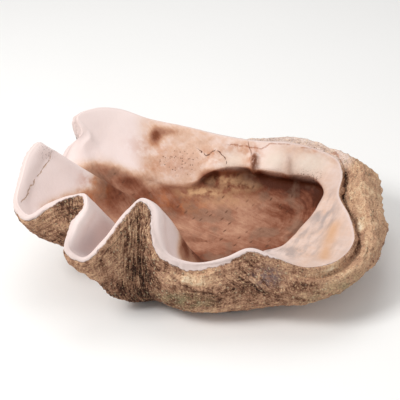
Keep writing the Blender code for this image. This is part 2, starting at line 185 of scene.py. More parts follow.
def hermite(knots, values, at):
    """A smooth curve through the values at the knots."""
    values = np.asarray(values, float)
    steps = np.diff(knots)[:, None]
    rises = np.diff(values, axis=0) / steps
    inner = (rises[:-1] * steps[1:] + rises[1:] * steps[:-1]) / (steps[1:] + steps[:-1])
    tangents = np.concatenate([rises[:1], inner, rises[-1:]])
    span = np.clip(np.searchsorted(knots, at, side="right") - 1, 0, len(knots) - 2)
    width = (knots[span + 1] - knots[span])[:, None]
    t = (at - knots[span])[:, None] / width
    start, end = values[span], values[span + 1]
    leave, reach = tangents[span] * width, tangents[span + 1] * width
    return (
        start * (1 + 2 * t) * (1 - t) ** 2
        + leave * t * (1 - t) ** 2
        + end * t**2 * (3 - 2 * t)
        + reach * t**2 * (t - 1)
    )


def closed(knots, values, at, length):
    """The same for values that go round and meet again after length."""
    knots = np.asarray(knots, float)
    values = np.asarray(values, float)
    wrapped = np.concatenate([knots - length, knots, knots + length])
    return hermite(wrapped, np.concatenate([values] * 3), at)


def margin_knots():
    """Each place's distance along the margin, and the margin's whole length."""
    points = np.array([place[1:4] for place in MARGIN])
    steps = np.linalg.norm(np.roll(points, -1, axis=0) - points, axis=1)
    return np.concatenate([[0], np.cumsum(steps)[:-1]]), steps.sum()


def folded_part(knots, at, length):
    """One along the folds, zero where the margin is smooth."""
    folded = np.array([place[1] < 0.0 and place[2] < 0.25 for place in MARGIN], float)[:, None]
    return closed(knots, folded, at, length)[:, 0].clip(0, 1)


def places_around(count, knots, length):
    """Distances along the margin, closer together at the folds."""
    fine = np.linspace(0, length, 2000)
    density = 1 + (DENSER_AT_FOLDS - 1) * folded_part(knots, fine, length)
    reach = np.concatenate([[0], np.cumsum((density[1:] + density[:-1]) / 2)])
    return np.interp(np.arange(count) * reach[-1] / count, reach, fine)


def along_margin(table, at, knots, length):
    """The table's sections at each distance along the margin, as place, key and pair."""
    names = [place[0] for place in MARGIN]
    given = sorted(table, key=names.index)
    values = np.array([table[name] for name in given])
    found = closed(knots[[names.index(name) for name in given]], values.reshape(len(given), -1), at, length)
    return found.reshape(len(at), -1, 2)


def section_keys(mean, inside, outside):
    """Each key's distance in from the mean margin and its height, from the bowl's middle to the base."""
    top = mean[:, 2]
    zero = np.zeros_like(top)
    spine = np.array(BOWL_MIDDLE) + np.stack([SPINE_SHARE * (mean[:, 0] - BOWL_MIDDLE[0]), zero], 1)
    reach = np.linalg.norm(spine - mean[:, :2], axis=1)
    floor_edge = inside[:, 4, 0]
    ground = outside[:, 4, 0]
    keys = [(reach, zero + FLOOR_HEIGHT), (0.5 * (reach + floor_edge), zero + FLOOR_HEIGHT + 0.002)]
    keys += [(inside[:, i, 0], inside[:, i, 1]) for i in (4, 3, 2, 1, 0)]
    keys += [(zero + LIP_INSIDE, top - 0.003), (zero, top), (zero - LIP_OUTSIDE, top - 0.004)]
    keys += [(outside[:, i, 0], outside[:, i, 1]) for i in range(5)]
    keys += [(ground + 0.3 * (reach - ground), zero - BASE_DIP), (reach, zero - BASE_DIP)]
    return np.array(keys), spine, reach


def evened(values, at, length, reach):
    """Values averaged with their neighbours within reach, at places that go round and meet after length."""
    apart = np.abs(at[:, None] - at[None, :])
    spacing = (np.roll(at, -1) - np.roll(at, 1)) % length
    weights = np.exp(-((np.minimum(apart, length - apart) / reach) ** 2)) * spacing[None]
    return weights @ values / weights.sum(axis=1)[:, None]


def polar(plan):
    """Direction and distance from the umbo."""
    away = plan - np.array(UMBO)
    return np.arctan2(away[..., 1], away[..., 0]) % (2 * math.pi), np.linalg.norm(away, axis=-1)


def fold_at(plan, mean, folds, extents, first, last):
    """The fold that belongs to each place, which fades along the line from the margin to the umbo."""
    own, far = polar(mean[:, :2])
    run = np.concatenate([np.arange(last, len(mean)), np.arange(0, first)])
    steady = np.maximum.accumulate(own[run])
    swing = folds[run].copy()
    swing[0] = swing[-1] = 0
    bearing, distance = polar(plan)
    fold = np.stack([np.interp(bearing, steady, swing[:, axis]) for axis in range(3)], -1)
    from_margin = np.interp(bearing, steady, far[run]) - distance
    faded = (from_margin / np.interp(bearing, steady, extents[run])).clip(0, 1)
    return (1 - faded * faded * (3 - 2 * faded))[..., None] * fold


def lobes_at(plan, marks):
    """How far the hinge plate's lobes rise above the shelf."""
    on_shelf = np.clip((marks - 4.5) / 0.5, 0, 1) * np.clip((7.5 - marks) / 0.5, 0, 1)
    rise = np.zeros(plan.shape[:-1])
    for x, y, wide, deep, height in PLATE_LOBES:
        rise += height * np.exp(-(((plan[..., 0] - x) / wide) ** 2) - ((plan[..., 1] - y) / deep) ** 2)
    return on_shelf[:, None] * rise


def row_marks(rows):
    """Each row's place among the keys, given the rows of faces between one key and the next."""
    return np.concatenate([np.arange(n) / n + i for i, n in enumerate(rows)] + [[float(len(rows))]])


def valve_points(count, rows):
    """Points of the valve: rows run from the bowl's middle over the lip to the middle of the underside."""
    knots, length = margin_knots()
    at = places_around(count, knots, length)
    points = np.array([place[1:4] for place in MARGIN])
    on_mean = np.array([place[4] for place in MARGIN])
    names = [place[0] for place in MARGIN]
    margin = closed(knots, points, at, length)
    mean = closed(knots[on_mean], points[on_mean], at, length)
    inside = along_margin(INSIDE, at, knots, length)
    outside = along_margin(OUTSIDE, at, knots, length)
    keys, spine, reach = section_keys(mean, inside, outside)

    marks = row_marks(rows)
    key_marks = np.arange(len(keys), dtype=float)
    lanes = hermite(key_marks, keys.reshape(len(keys), -1), marks)
    lanes = lanes.reshape(len(marks), 2, -1)
    inward, height = lanes[:, 0], lanes[:, 1]
    shares = np.concatenate([np.ones(len(keys) - len(OUTSIDE_SHARES)), OUTSIDE_SHARES])
    share = hermite(key_marks, shares[:, None], marks).clip(0, 1)

    # Past the floor's edge the rows leave the spine and gather at the bowl's middle.
    part = inward / reach
    gather = (np.clip(part, 0.6, 1) - 0.6) / 0.4
    gather = gather * gather * (3 - 2 * gather)
    aim = spine[None] + (np.array(BOWL_MIDDLE) - spine)[None] * gather[..., None]
    plan = mean[None, :, :2] + part[..., None] * (aim - mean[None, :, :2])
    body = np.concatenate([plan, height[..., None]], -1)

    # Near the lip the skin stands off square to the real margin, and outside it does so most on steep flanks.
    tangent = np.roll(margin, -1, axis=0) - np.roll(margin, 1, axis=0)
    square = np.stack([-tangent[:, 1], tangent[:, 0]], 1) / np.linalg.norm(tangent[:, :2], axis=1)[:, None]
    steepness = np.abs(tangent[:, 2]) / np.linalg.norm(tangent, axis=1)
    folded = folded_part(knots, at, length)[:, None]
    turned = (evened(square, at, length, EVENING) - (spine - mean[:, :2]) / reach[:, None]) * folded
    near = np.where(inward > 0, np.clip(1.4 - inward / 0.018, 0, 1), 1)
    near = near * (marks[:, None] <= len(keys) - len(OUTSIDE_SHARES) + 2)
    body[..., :2] += (inward * near)[..., None] * turned[None]
    offsets = np.concatenate([np.zeros(len(keys) - len(OUTSIDE_SHARES)), FLANK_OFFSETS])
    offset = hermite(key_marks, offsets[:, None], marks)
    body[..., :2] -= offset[..., None] * (square * folded * steepness[:, None])[None]
    first = int(np.searchsorted(at, knots[names.index("right_lobe_end")]))
    last = int(np.searchsorted(at, knots[names.index("back_left")]))
    reach_names = sorted(FOLD_REACH, key=names.index)
    reach_knots = knots[[names.index(name) for name in reach_names]]
    extents = np.interp(at, reach_knots, [FOLD_REACH[name] for name in reach_names])
    sharp = fold_at(plan, mean, margin - mean, extents, first, last)
    mean_steps = np.linalg.norm(np.roll(mean, -1, axis=0)[:, :2] - mean[:, :2], axis=1)
    mean_at = np.cumsum(mean_steps) - mean_steps
    softened = evened(margin - mean, mean_at, mean_steps.sum(), ROUNDING)
    rounded = fold_at(plan, mean, softened, extents, first, last)
    roundness = hermite(key_marks, np.array(ROUNDNESS)[:, None], marks).clip(0, 1)
    body = body + share[..., None] * (sharp + roundness[..., None] * (rounded - sharp))
    body[..., 2] += lobes_at(body[..., :2], marks)
    return body


# The skin's finer grid, and where the lip and the shelf's edge are among the keys.
FINE_COLUMNS = 560
FINE_ROWS = (4, 10, 9, 8, 8, 8, 16, 5, 4, 4, 5, 18, 24, 14, 4, 2)
SHELF_EDGE_KEY = 5
LIP_KEY = 8
LIP_ROW = sum(FINE_ROWS[:LIP_KEY])
# Columns to each side that the lip's height is evened over, to tell folds from channels.
EVENED_COLUMNS = 45
# Relief that is too fine for the solid: the size and height of each pattern, and the lip's rough length.
LIP_LENGTH = 2.6
LUMP_SIZE, LUMP_HEIGHT = 0.045, 0.0035
KNOB_SIZE, KNOB_HEIGHT = 0.014, 0.0022
LAYER_STEP, LAYER_HEIGHT = 0.013, 0.0022
RIB_STEP, RIB_HEIGHT = 0.0125, 0.0016
SIDE_LUMP_HEIGHT, SIDE_KNOB_HEIGHT = 0.0035, 0.0030
INNER_LUMP_HEIGHT, WALL_LUMP_HEIGHT, WALL_KNOB_HEIGHT = 0.0010, 0.0016, 0.0010
PLATE_RISE, GAP_DEPTH, PITTED_DEPTH = 0.003, 0.010, 0.003

# Wide places, each by soft limits: the value it goes by, where the place is zero, and where it is full.
WIDE_PLACES = {
    "open_left": (("x", 0.02, -0.06),),
    "left_wall": (("x", -0.250, -0.205), ("y", 0.150, 0.105), ("from_lip", 0.030, 0.110)),
    "far_right": (("x", 0.08, 0.26),),
    "shelf": (("x", 0.10, 0.20),),
    "wall": (("x", -0.165, -0.110), ("y", 0.11, 0.16)),
    "plate_end": (("x", 0.085, 0.150),),
    "stripe": (("y", -0.035, -0.075),),
    "side": (("x", 0.10, 0.22), ("y", -0.22, -0.12), ("y", 0.150, 0.110)),
    "umbo_band": (("x", 0.02, 0.09), ("y", 0.120, 0.165), ("from_lip", -0.060, -0.030)),
    "sandy": (("x", 0.16, 0.27), ("z", 0.075, 0.115)),
}
# How many radii from its middle a soft-edged place is gone, and how its strength falls off on the way.
SOFT_EDGE = 1.45
SOFT_POWER = 1.3
# Soft-edged places on the inside, each a middle and three radii in the row frame, and a strength.
INSIDE_SPOTS = {
    # Stains mixed with painted shadow: the places under the hinge plate, under the shelf at the right and
    # along the step of the back wall are painted shadow, the rest are brown stains.
    "stain_and_shadow_spots": (
        ((0.205, 0.172, 0.092), (0.110, 0.040, 0.030), 1.00),
        ((0.262, 0.120, 0.085), (0.030, 0.060, 0.045), 0.80),
        ((0.120, 0.170, 0.100), (0.060, 0.025, 0.025), 0.60),
        ((0.012, 0.161, 0.106), (0.020, 0.024, 0.015), 1.90),
        ((0.170, 0.095, 0.056), (0.030, 0.026, 0.020), 0.40),
        ((-0.248, 0.112, 0.160), (0.045, 0.022, 0.018), 0.12),
        ((-0.195, 0.122, 0.142), (0.050, 0.026, 0.020), 0.12),
        ((-0.150, 0.118, 0.120), (0.040, 0.030, 0.022), 0.60),
        ((-0.106, 0.214, 0.181), (0.014, 0.022, 0.018), 1.40),
        ((-0.086, 0.224, 0.187), (0.030, 0.012, 0.010), 0.80),
        ((-0.070, 0.140, 0.085), (0.090, 0.018, 0.014), 0.40),
        ((-0.128, 0.100, 0.090), (0.040, 0.040, 0.024), 0.60),
        ((-0.052, 0.105, 0.064), (0.050, 0.030, 0.024), 0.55),
        ((0.100, -0.060, 0.056), (0.110, 0.060, 0.030), 0.35),
        ((-0.195, 0.050, 0.140), (0.045, 0.050, 0.050), 0.60),
        ((-0.015, -0.075, 0.090), (0.040, 0.050, 0.050), 0.80),
        ((-0.044, -0.155, 0.128), (0.020, 0.035, 0.028), 1.30),
    ),
    "rust": (
        ((-0.034, 0.108, 0.060), (0.040, 0.025, 0.030), 0.85),
        ((-0.085, 0.110, 0.078), (0.040, 0.025, 0.030), 0.60),
        ((0.110, 0.180, 0.150), (0.020, 0.026, 0.030), 1.00),
        ((0.020, 0.186, 0.145), (0.030, 0.022, 0.025), 0.75),
        ((-0.120, 0.190, 0.165), (0.060, 0.030, 0.030), 0.45),
        ((0.050, 0.182, 0.112), (0.060, 0.014, 0.012), 0.70),
        ((-0.235, 0.030, 0.165), (0.035, 0.045, 0.045), 0.80),
        ((-0.105, 0.160, 0.130), (0.050, 0.030, 0.020), 0.50),
        ((0.262, 0.186, 0.158), (0.046, 0.014, 0.010), 0.65),
        ((0.085, 0.200, 0.158), (0.040, 0.014, 0.014), 0.60),
    ),
    "pale": (
        ((0.041, 0.172, 0.092), (0.045, 0.016, 0.014), 0.80),
        ((0.000, 0.142, 0.078), (0.065, 0.016, 0.014), 0.90),
        ((0.075, 0.160, 0.082), (0.050, 0.020, 0.014), 0.60),
        ((0.045, 0.128, 0.068), (0.075, 0.026, 0.016), 0.40),
    ),
    "pitted": (((-0.055, 0.178, 0.132), (0.046, 0.030, 0.026), 1.00),),
    "grey": (
        ((0.252, -0.020, 0.124), (0.035, 0.090, 0.030), 1.00),
        ((0.200, -0.090, 0.116), (0.050, 0.050, 0.030), 0.90),
        ((0.180, -0.150, 0.125), (0.100, 0.040, 0.030), 0.85),
        ((0.020, -0.200, 0.150), (0.090, 0.022, 0.025), 0.45),
    ),
    # Painted shade, greyish, deep in the channels between the folds at the left front.
    "channel_shade": (
        ((-0.235, -0.190, 0.165), (0.040, 0.060, 0.040), 0.45),
        ((-0.210, -0.140, 0.160), (0.040, 0.060, 0.040), 0.25),
    ),
    "dirty": (
        ((0.228, 0.126, 0.128), (0.042, 0.016, 0.016), 1.00),
        ((0.150, 0.148, 0.112), (0.040, 0.012, 0.012), 0.80),
        ((0.314, 0.120, 0.145), (0.020, 0.040, 0.020), 0.50),
        ((-0.322, 0.020, 0.262), (0.020, 0.030, 0.020), 0.60),
    ),
    "plate": (
        ((0.156, 0.160, 0.145), (0.028, 0.030, 0.030), 1.00),
        ((0.232, 0.150, 0.143), (0.044, 0.030, 0.030), 1.00),
        ((0.062, 0.180, 0.138), (0.036, 0.026, 0.022), 0.75),
    ),
    # The gap between the hinge plate's lobes, cut in the relief; its deep brown is partly the fissure's own
    # colour, partly painted shade.
    "gap": (
        ((0.114, 0.170, 0.138), (0.009, 0.022, 0.030), 1.00),
        ((0.187, 0.150, 0.138), (0.008, 0.024, 0.030), 0.35),
    ),
}
# The same on the outside.
OUTSIDE_SPOTS = {
    "violet": (((0.124, -0.244, 0.130), (0.030, 0.030, 0.022), 1.00),),
    "moss": (
        ((-0.043, -0.250, 0.065), (0.060, 0.050, 0.030), 0.90),
        ((0.270, -0.230, 0.085), (0.090, 0.060, 0.030), 0.75),
    ),
    "hatched": (((0.085, -0.245, 0.120), (0.060, 0.040, 0.040), 1.00),),
    # Painted shade on the undersides of the folds and low on the front.
    "shade_under_folds": (
        ((-0.125, -0.188, 0.232), (0.012, 0.030, 0.014), 0.50),
        ((-0.118, -0.205, 0.120), (0.036, 0.050, 0.056), 0.85),
        ((-0.165, -0.205, 0.075), (0.055, 0.045, 0.036), 0.90),
        ((-0.150, -0.190, 0.055), (0.100, 0.070, 0.032), 0.90),
        ((0.010, -0.245, 0.080), (0.060, 0.060, 0.030), 0.60),
        ((0.080, -0.250, 0.100), (0.060, 0.030, 0.024), 0.80),
        ((-0.272, -0.135, 0.215), (0.030, 0.030, 0.036), 0.60),
        ((-0.300, -0.100, 0.140), (0.060, 0.060, 0.040), 0.45),
    ),
    "cream": (
        ((-0.010, -0.250, 0.126), (0.060, 0.030, 0.014), 1.00),
        ((0.240, -0.235, 0.128), (0.070, 0.040, 0.010), 0.80),
        ((0.322, -0.070, 0.128), (0.012, 0.020, 0.020), 1.00),
    ),
}
# Cracks and rust lines in plan, and the height that they stay above.
PLAN_LINES = {
    "crack_a": (((-0.008, 0.200), (0.010, 0.190), (0.028, 0.201), (0.046, 0.187), (0.050, 0.172)), 0.115),
    "crack_b": (((0.100, 0.203), (0.108, 0.186), (0.111, 0.164)), 0.115),
    "crack_c": (
        ((-0.317, 0.012), (-0.328, -0.004), (-0.340, -0.023), (-0.354, -0.050), (-0.368, -0.085)),
        0.170,
    ),
    "rust_a": (((0.060, 0.205), (0.092, 0.200), (0.130, 0.191), (0.150, 0.200), (0.190, 0.197)), 0.120),
    "rust_b": (((0.215, 0.190), (0.245, 0.190), (0.269, 0.184), (0.297, 0.176), (0.300, 0.150)), 0.120),
}
# Crevices between growth steps on the front, as lines of x and z.
FRONT_LINES = {
    "crevice_a": ((-0.062, 0.131), (-0.052, 0.122), (-0.035, 0.110), (-0.008, 0.098), (0.015, 0.094)),
    "crevice_b": ((0.180, 0.121), (0.205, 0.118), (0.228, 0.118), (0.262, 0.122)),
}
# How far from a line its values are kept.
LINE_REACH = 0.012
# The orange stripe on the shelf: its half width, the height that it stays above, and its line in plan.
STRIPE_WIDTH = 0.013
STRIPE_LOWEST = 0.10
SHELF_STRIPE = ((0.278, -0.040), (0.264, -0.085), (0.250, -0.130), (0.238, -0.185))
# Width of the bare lip, and places where it is wider or narrower: the place, its reach, and the change.
BARE_LIP = 0.006
LIP_WIDTHS = (
    ((-0.030, -0.232, 0.160), 0.060, 0.014),
    ((0.030, -0.234, 0.168), 0.050, 0.010),
    ((-0.262, -0.225, 0.180), 0.045, 0.008),
    ((-0.375, -0.030, 0.235), 0.085, 0.030),
    ((-0.265, 0.160, 0.225), 0.040, 0.060),
    ((-0.080, -0.222, 0.190), 0.035, 0.014),
    ((0.200, -0.234, 0.146), 0.060, -0.007),
    ((0.290, -0.150, 0.130), 0.090, -0.010),
    ((0.320, 0.020, 0.135), 0.120, -0.010),
    ((0.300, 0.170, 0.155), 0.080, -0.010),
)
# Where the brown stain on the bowl's left wall ends: x, and its height there.
STAIN_EDGE = ((-0.26, -0.20, -0.15, -0.118, -0.03, 0.02), (0.185, 0.170, 0.140, 0.118, 0.098, 0.104))


def spots(points, places):
    """How strongly each point is inside the given soft-edged places."""
    found = np.zeros(points.shape[:-1])
    for middle, radii, strength in places:
        apart = np.linalg.norm((points - np.array(middle)) / np.array(radii), axis=-1)
        found = np.maximum(found, strength * np.clip(SOFT_EDGE - apart, 0, 1) ** SOFT_POWER)
    return found


def smooth_step(value, low, high):
    """The smooth way from zero to one as the value goes from low to high."""
    t = np.clip((value - low) / (high - low), 0, 1)
    return t * t * (3 - 2 * t)


def noise_at(points, size, octaves):
    """Smooth noise about zero with features of the given size."""
    flat = points.reshape(-1, 3) / size
    values = [mathutils.noise.fractal(mathutils.Vector(p), 1.0, 2.0, octaves) for p in flat]
    return np.array(values).reshape(points.shape[:-1])


def signed_from_line(flat, line):
    """Signed distance to a broken line in two axes, and how near the point is to it, from one to zero."""
    best = np.full(flat.shape[:-1], 9.0)
    signed = np.full(flat.shape[:-1], 9.0)
    for start, end in zip(line, line[1:]):
        start, end = np.array(start), np.array(end)
        along = end - start
        t = np.clip(((flat - start) @ along) / (along @ along), 0, 1)
        apart = np.linalg.norm(flat - (start + t[..., None] * along), axis=-1)
        side = (flat[..., 0] - start[0]) * along[1] - (flat[..., 1] - start[1]) * along[0]
        closer = apart < best
        best = np.where(closer, apart, best)
        signed = np.where(closer, np.sign(side) * apart, signed)
    return np.clip(signed, -0.05, 0.05), np.clip(1 - best / LINE_REACH, 0, 1)


def valve_grid():
    """The fine grid of points, in the row frame."""
    coarse = valve_points(COLUMNS, ROWS)
    low, high = coarse.reshape(-1, 3).min(axis=0), coarse.reshape(-1, 3).max(axis=0)
    points = valve_points(FINE_COLUMNS, FINE_ROWS)
    points[..., :2] -= (low[:2] + high[:2]) / 2
    return points


def grid_normals(points):
    """Outward normals of a grid whose rows go round."""
    across = np.roll(points, -1, axis=1) - np.roll(points, 1, axis=1)
    down = np.gradient(points, axis=0)
    normals = np.cross(across, down)
    return normals / (np.linalg.norm(normals, axis=-1)[..., None] + 1e-9)


def lip_fields(lip):
    """Values that belong to a whole column of the grid: its place round the lip, and how the lip is there."""
    steps = np.linalg.norm(lip - np.roll(lip, 1, axis=0), axis=-1)
    around = np.cumsum(steps)
    turn = 2 * math.pi * around / around[-1]
    radius = around[-1] / (2 * math.pi)
    changes = [
        change * np.exp(-((np.linalg.norm(lip - np.array(place), axis=1) / near) ** 2))
        for place, near, change in LIP_WIDTHS
    ]
    reach = EVENED_COLUMNS
    wrapped = np.concatenate([lip[-reach:, 2], lip[:, 2], lip[:reach, 2]])
    evened_height = np.convolve(wrapped, np.ones(2 * reach + 1) / (2 * reach + 1), mode="valid")
    on_fold = smooth_step(lip[:, 2] - evened_height, -0.005, 0.035)
    return {
        "turn": turn,
        "round_x": radius * np.cos(turn),
        "round_y": radius * np.sin(turn),
        "bare_width": BARE_LIP + np.max(changes, axis=0) + np.min(changes, axis=0),
        "hollow": on_fold * smooth_step(lip[:, 0], -0.02, -0.08),
    }


def within(limits, at):
    """One where every value is past its soft limits, zero where any is short of them."""
    found = 1.0
    for name, low, high in limits:
        found = found * smooth_step(at[name], low, high)
    return found


def bowl_stain(at, wide):
    """Where the bowl is stained: all of it under the shelf, and the floor and low walls at the left end."""
    x, y, z = at["x"], at["y"], at["z"]
    shelf_edge = row_marks(FINE_ROWS)[:, None] - SHELF_EDGE_KEY
    below_shelf = smooth_step(shelf_edge, 0.02, -0.20)
    edge = np.interp(x, STAIN_EDGE[0], STAIN_EDGE[1])
    low = smooth_step(z - edge, 0.0, -0.030) * smooth_step(y + 0.4 * x, -0.215, -0.185)
    left = wide["left_wall"] * smooth_step(y + 0.55 * x, -0.20, -0.13)
    return below_shelf * (1 - wide["open_left"]) + np.maximum(low, left) * wide["open_left"]


def line_fields(points, inside):
    """Distance to each crack, crevice and line of rust, and how near it is."""
    fields = {}
    for name, (line, lowest) in PLAN_LINES.items():
        signed, near = signed_from_line(points[..., :2], line)
        fields[name] = signed
        fields[name + "_near"] = near * (points[..., 2] > lowest) * (inside if "crack" in name else 1)
    for name, line in FRONT_LINES.items():
        signed, near = signed_from_line(points[..., [0, 2]], line)
        fields[name] = signed
        fields[name + "_near"] = near * (~inside & (points[..., 1] < -0.19))
    return fields


def skin_fields(points):
    """What each point of the skin is like, by name."""
    steps = np.linalg.norm(np.diff(points, axis=0), axis=-1)
    down = np.concatenate([np.zeros((1, points.shape[1])), np.cumsum(steps, axis=0)])
    from_lip = down[LIP_ROW] - down
    inside = from_lip > 0
    at = {"x": points[..., 0], "y": points[..., 1], "z": points[..., 2], "from_lip": from_lip}
    wide = {name: within(limits, at) for name, limits in WIDE_PLACES.items()}
    fields = {"lip_distance": from_lip, "height": at["z"], "outside": smooth_step(-from_lip, 0.0, 0.012)}
    for name, column_values in lip_fields(points[LIP_ROW]).items():
        fields[name] = np.broadcast_to(column_values, from_lip.shape)
    bowl = np.clip(bowl_stain(at, wide), 0, 1) * inside
    from_stripe = signed_from_line(points[..., :2], SHELF_STRIPE)[0]
    stripe = np.exp(-((from_stripe / STRIPE_WIDTH) ** 2)) * (at["z"] > STRIPE_LOWEST)
    fields["bowl"] = bowl
    fields["shelf"] = wide["shelf"] * inside * (1 - bowl)
    # The bowl's right end, where the staining is made deeper by painted shade; its arcs are stains.
    fields["far_right"] = wide["far_right"] * bowl
    fields["wall"] = wide["wall"] * (1 - 0.75 * wide["plate_end"]) * inside
    fields["stripe"] = stripe * wide["stripe"] * inside
    for name in ("side", "umbo_band", "sandy"):
        fields[name] = wide[name] * ~inside
    for name, places in INSIDE_SPOTS.items():
        fields[name] = spots(points, places) * inside
    for name, places in OUTSIDE_SPOTS.items():
        fields[name] = spots(points, places) * ~inside
    fields.update(line_fields(points, inside))
    return fields


def raised(points, fields):
    """The skin with its lumps, knobs, growth layers and riblets."""
    from_lip, hollow, wall = fields["lip_distance"], fields["hollow"], fields["wall"]
    rough = fields["outside"] * smooth_step(points[..., 2], 0.002, 0.02)
    lumps = noise_at(points, LUMP_SIZE, 2)
    knobs = noise_at(points, KNOB_SIZE, 3)
    layers = np.abs(((-from_lip + 0.006 * lumps) / LAYER_STEP) % 1.0 - 0.5) * 2
    ribs = np.sin(round(LIP_LENGTH / RIB_STEP) * (fields["turn"] + 0.012 * knobs))
    height = rough * LUMP_HEIGHT * lumps
    height += rough * KNOB_HEIGHT * knobs
    height += rough * LAYER_HEIGHT * (layers - 0.5) * (1 - 0.6 * hollow)
    height += rough * RIB_HEIGHT * ribs * (0.25 + 0.75 * hollow)
    height += rough * fields["side"] * (SIDE_LUMP_HEIGHT * lumps + SIDE_KNOB_HEIGHT * knobs)
    quiet = (1 - fields["outside"]) * smooth_step(from_lip, 0.004, 0.03)
    inner_lumps = (INNER_LUMP_HEIGHT + WALL_LUMP_HEIGHT * wall) * lumps
    height += quiet * (inner_lumps + WALL_KNOB_HEIGHT * wall * knobs)
    height += PLATE_RISE * fields["plate"] - GAP_DEPTH * fields["gap"] - PITTED_DEPTH * fields["pitted"]
    grown = points + grid_normals(points) * height[..., None]
    grown[..., 2] = np.maximum(grown[..., 2], 0)
    return grown


def skin_mesh(name, points, fields):
    """A closed mesh over the grid, with the fields stored on its points."""
    rows, count = points.shape[:2]
    body = points[1:-1].reshape(-1, 3)
    ends = np.stack([points[0].mean(axis=0), points[-1].mean(axis=0)])
    vertices = np.concatenate([body, ends])
    top, bottom = len(body), len(body) + 1
    ids = np.arange(len(body)).reshape(rows - 2, count)
    following = np.roll(ids, -1, axis=1)
    quads = np.stack([ids[:-1], following[:-1], following[1:], ids[1:]], -1).reshape(-1, 4)
    faces = [tuple(quad) for quad in quads.tolist()]
    faces += [(top, b, a) for a, b in zip(ids[0].tolist(), following[0].tolist())]
    faces += [(bottom, a, b) for a, b in zip(ids[-1].tolist(), following[-1].tolist())]
    mesh = bpy.data.meshes.new(name)
    mesh.from_pydata(vertices.tolist(), [], faces)
    mesh.validate()
    fixer = bmesh.new()
    fixer.from_mesh(mesh)
    bmesh.ops.recalc_face_normals(fixer, faces=fixer.faces)
    fixer.to_mesh(mesh)
    fixer.free()
    for key, values in fields.items():
        stored = mesh.attributes.new(key, "FLOAT", "POINT")
        flat = np.concatenate([values[1:-1].reshape(-1), [values[0].mean(), values[-1].mean()]])
        stored.data.foreach_set("value", flat.astype(np.float32))
    mesh.shade_smooth()
    return mesh


# What the two layers of shell share: the mineral, its sheen and colours, and the depths of fine relief.
ARAGONITE_IOR = 1.53
FAINT_SHEEN = 0.2
BARE_SHELL = "#DCC9C3"
RUST = "#A8623C"
RUST_HALF_WIDTH = 0.0018
INNER_RELIEF_DEPTH = 0.0016
OUTER_RELIEF_DEPTH = 0.0045
MIDDLE_TONE = 0.55
# Words for the node settings that come back most.
EASED = {"interpolation_type": "SMOOTHSTEP"}
STRAIGHT = (0, 0, 0)
EVEN = (1, 1, 1)


def linear(code):
    """An sRGB hex colour as linear values."""
    parts = [int(code[i : i + 2], 16) / 255 for i in (1, 3, 5)]
    return tuple(c / 12.92 if c <= 0.04045 else ((c + 0.055) / 1.055) ** 2.4 for c in parts) + (1.0,)


def add(tree, kind, inputs=(), output=0, stops=(), **settings):
    """Adds a node with its settings, fills its sockets with links or fixed values, and returns one output."""
    node = tree.nodes.new("ShaderNode" + kind)
    for key, value in settings.items():
        setattr(node, key, value)
    for socket, value in inputs.items() if isinstance(inputs, dict) else enumerate(inputs):
        if isinstance(value, bpy.types.NodeSocket):
            tree.links.new(value, node.inputs[socket])
        else:
            node.inputs[socket].default_value = value
    for index, (place, code) in enumerate(stops):
        points = node.color_ramp.elements
        point = points[index] if index < 2 else points.new(place)
        point.position = place
        point.color = linear(code)
    return node.outputs[output]


def summed(tree, start, *terms):
    """The start plus each term, where a term is the product of its factors."""
    total = start
    for first, *others in terms:
        for factor in others[:-1]:
            first = add(tree, "Math", [first, factor], operation="MULTIPLY")
        total = add(tree, "Math", [first, others[-1], total], operation="MULTIPLY_ADD")
    return total


def laid_over(tree, under, code, *factors):
    """A colour laid over another where all of the factors are strong."""
    share = summed(tree, 0.0, factors)
    return add(tree, "Mix", {0: share, 6: under, 7: linear(code)}, 2, data_type="RGBA", clamp_factor=True)


def layered(tree, colour, layers, field, seen):
    """The colour with a table's layers laid over it in patches."""
    for code, name, pattern, low, high, least, strength in layers:
        patchy = add(tree, "MapRange", [seen[pattern], low, high, least, 1.0], **EASED)
        colour = laid_over(tree, colour, code, field[name], patchy, strength)
    return colour


def turned_places(tree, turn, squeeze):
    """The object's own places, turned by degrees and then squeezed."""
    here = add(tree, "TexCoord", output="Object")
    place = {"Vector": here, "Rotation": [math.radians(a) for a in turn], "Scale": [1 / s for s in squeeze]}
    return add(tree, "Mapping", place, vector_type="TEXTURE")


def skin_readings(tree, names, patterns):
    """What the skin's points store and the noise of each pattern, both by name."""
    field = {name: add(tree, "Attribute", output="Fac", attribute_name=name) for name in names}
    seen = {}
    for name, (size, turn, squeeze, detail, roughness) in patterns.items():
        where = turned_places(tree, turn, squeeze)
        noise = {"Vector": where, "Scale": 1 / size, "Detail": detail, "Roughness": roughness}
        seen[name] = add(tree, "TexNoise", noise)
    return field, seen


def banded_along_lip(tree, lip, share, size):
    """Noise in bands along the lip: the object's places shrunk to a share, plus the way from the lip."""
    here = add(tree, "TexCoord", output="Object")
    shrunk = add(tree, "VectorMath", {0: here, "Scale": share}, operation="SCALE")
    drop = add(tree, "CombineXYZ", {"Z": lip})
    where = add(tree, "VectorMath", [shrunk, drop], operation="ADD")
    return add(tree, "TexNoise", {"Vector": where, "Scale": 1 / size, "Detail": 3.5, "Roughness": 0.58})


def scattered_marks(tree, size, turn, squeeze, core, edge, fewest, most):
    """Marks in cells as large as size: solid to the core and gone at the edge, in some of the cells only."""
    where = turned_places(tree, turn, squeeze)
    distance = add(tree, "TexVoronoi", {"Vector": where, "Scale": 1 / size})
    number = add(tree, "SeparateColor", [distance.node.outputs["Color"]])
    solid = add(tree, "MapRange", [distance, core, edge, 1.0, 0.0], **EASED)
    chosen = add(tree, "MapRange", [number, fewest, most], **EASED)
    return summed(tree, 0.0, (solid, chosen))


